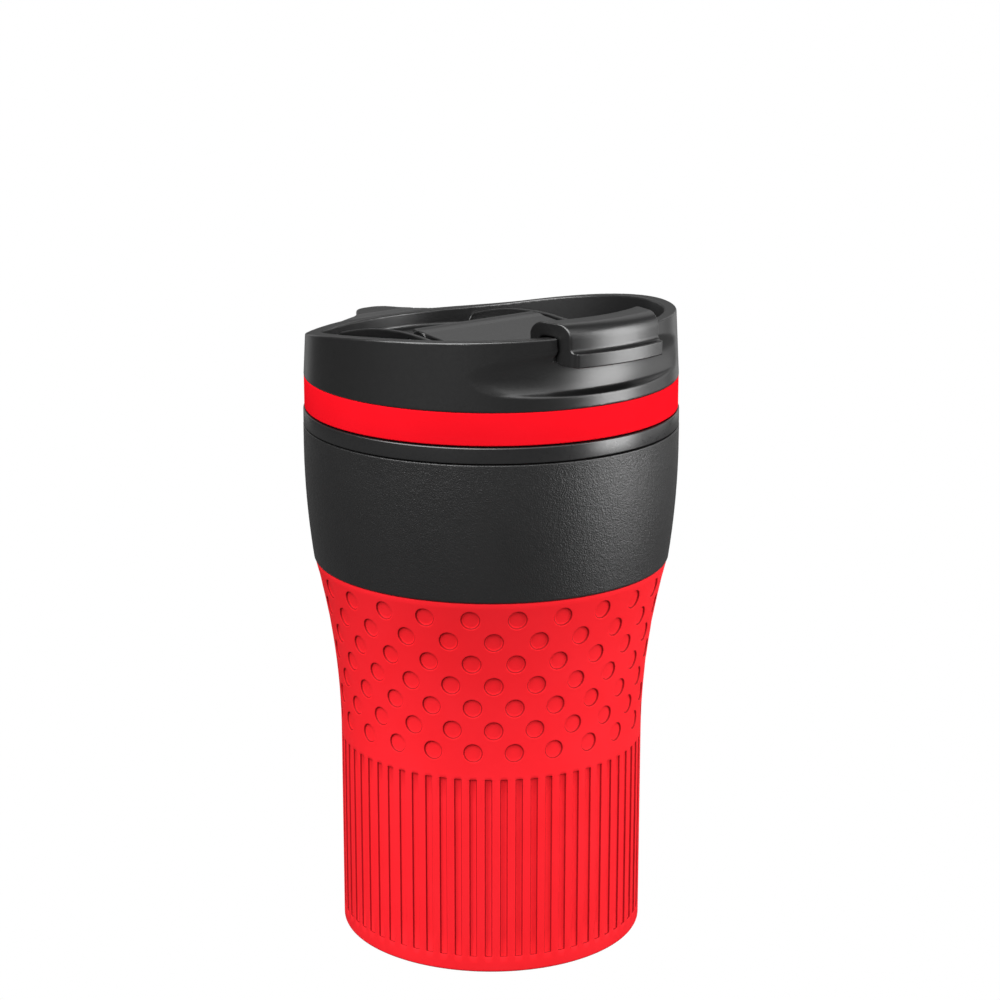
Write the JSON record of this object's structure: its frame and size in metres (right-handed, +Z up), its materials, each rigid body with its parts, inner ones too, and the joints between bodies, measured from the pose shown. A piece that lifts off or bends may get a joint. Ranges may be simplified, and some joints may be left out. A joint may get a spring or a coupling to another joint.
{
  "type": "travel mug",
  "caption": "Double-wall drinking tumbler with a waisted silicone sleeve, textured grip band and push-on lid closed by a flip lever.",
  "frame": {"origin": "centre of the standing face, under the foot pad", "axes": "+Z up along the axis of the cup, -Y towards the drinking side and the hook of the lever, +X to the drinker's left"},
  "size_m": [0.0844, 0.0929, 0.1493],
  "materials": {
    "liner_steel": "satin brushed inside of the cup",
    "shell_steel": "satin",
    "pin_steel": "satin",
    "red_silicone": "matte moulded silicone",
    "black_silicone": "matte non-slip foot",
    "grip_rubber": "fine pebbled grain, matte",
    "seal_silicone": "translucent white, smooth",
    "collar_gloss": "gloss",
    "lid_plastic": "satin, finely eroded mould texture",
    "insert_plastic": "satin"
  },
  "bodies": {
    "cup": {"inner_liner": "liner_steel", "outer_shell": "shell_steel", "bottom_plate": "shell_steel", "vacuum_cap": "shell_steel", "base_pad": "black_silicone", "grip_sleeve": "red_silicone", "grip_band": "grip_rubber", "collar_ring": "collar_gloss"},
    "lid": {"lid_body": "lid_plastic", "lid_band": "red_silicone", "lid_insert": "insert_plastic", "lid_gasket_lower": "seal_silicone", "lid_gasket_upper": "seal_silicone", "vent_valve": "seal_silicone", "hinge_pin_left": "pin_steel", "hinge_pin_right": "pin_steel"},
    "lever": {"flip_lever": "lid_plastic", "stopper_seal": "seal_silicone"}
  },
  "joints": [
    {"name": "lid_lift", "type": "slide", "parent": "cup", "child": "lid", "axis": [0, 0, 1], "range_m": [0, 0.03]},
    {"name": "lever_flip", "type": "hinge", "parent": "lid", "child": "lever", "pos_m": [0, 0.004, 0.139], "axis": [-1, 0, 0], "range_deg": [0, 165]}
  ]
}
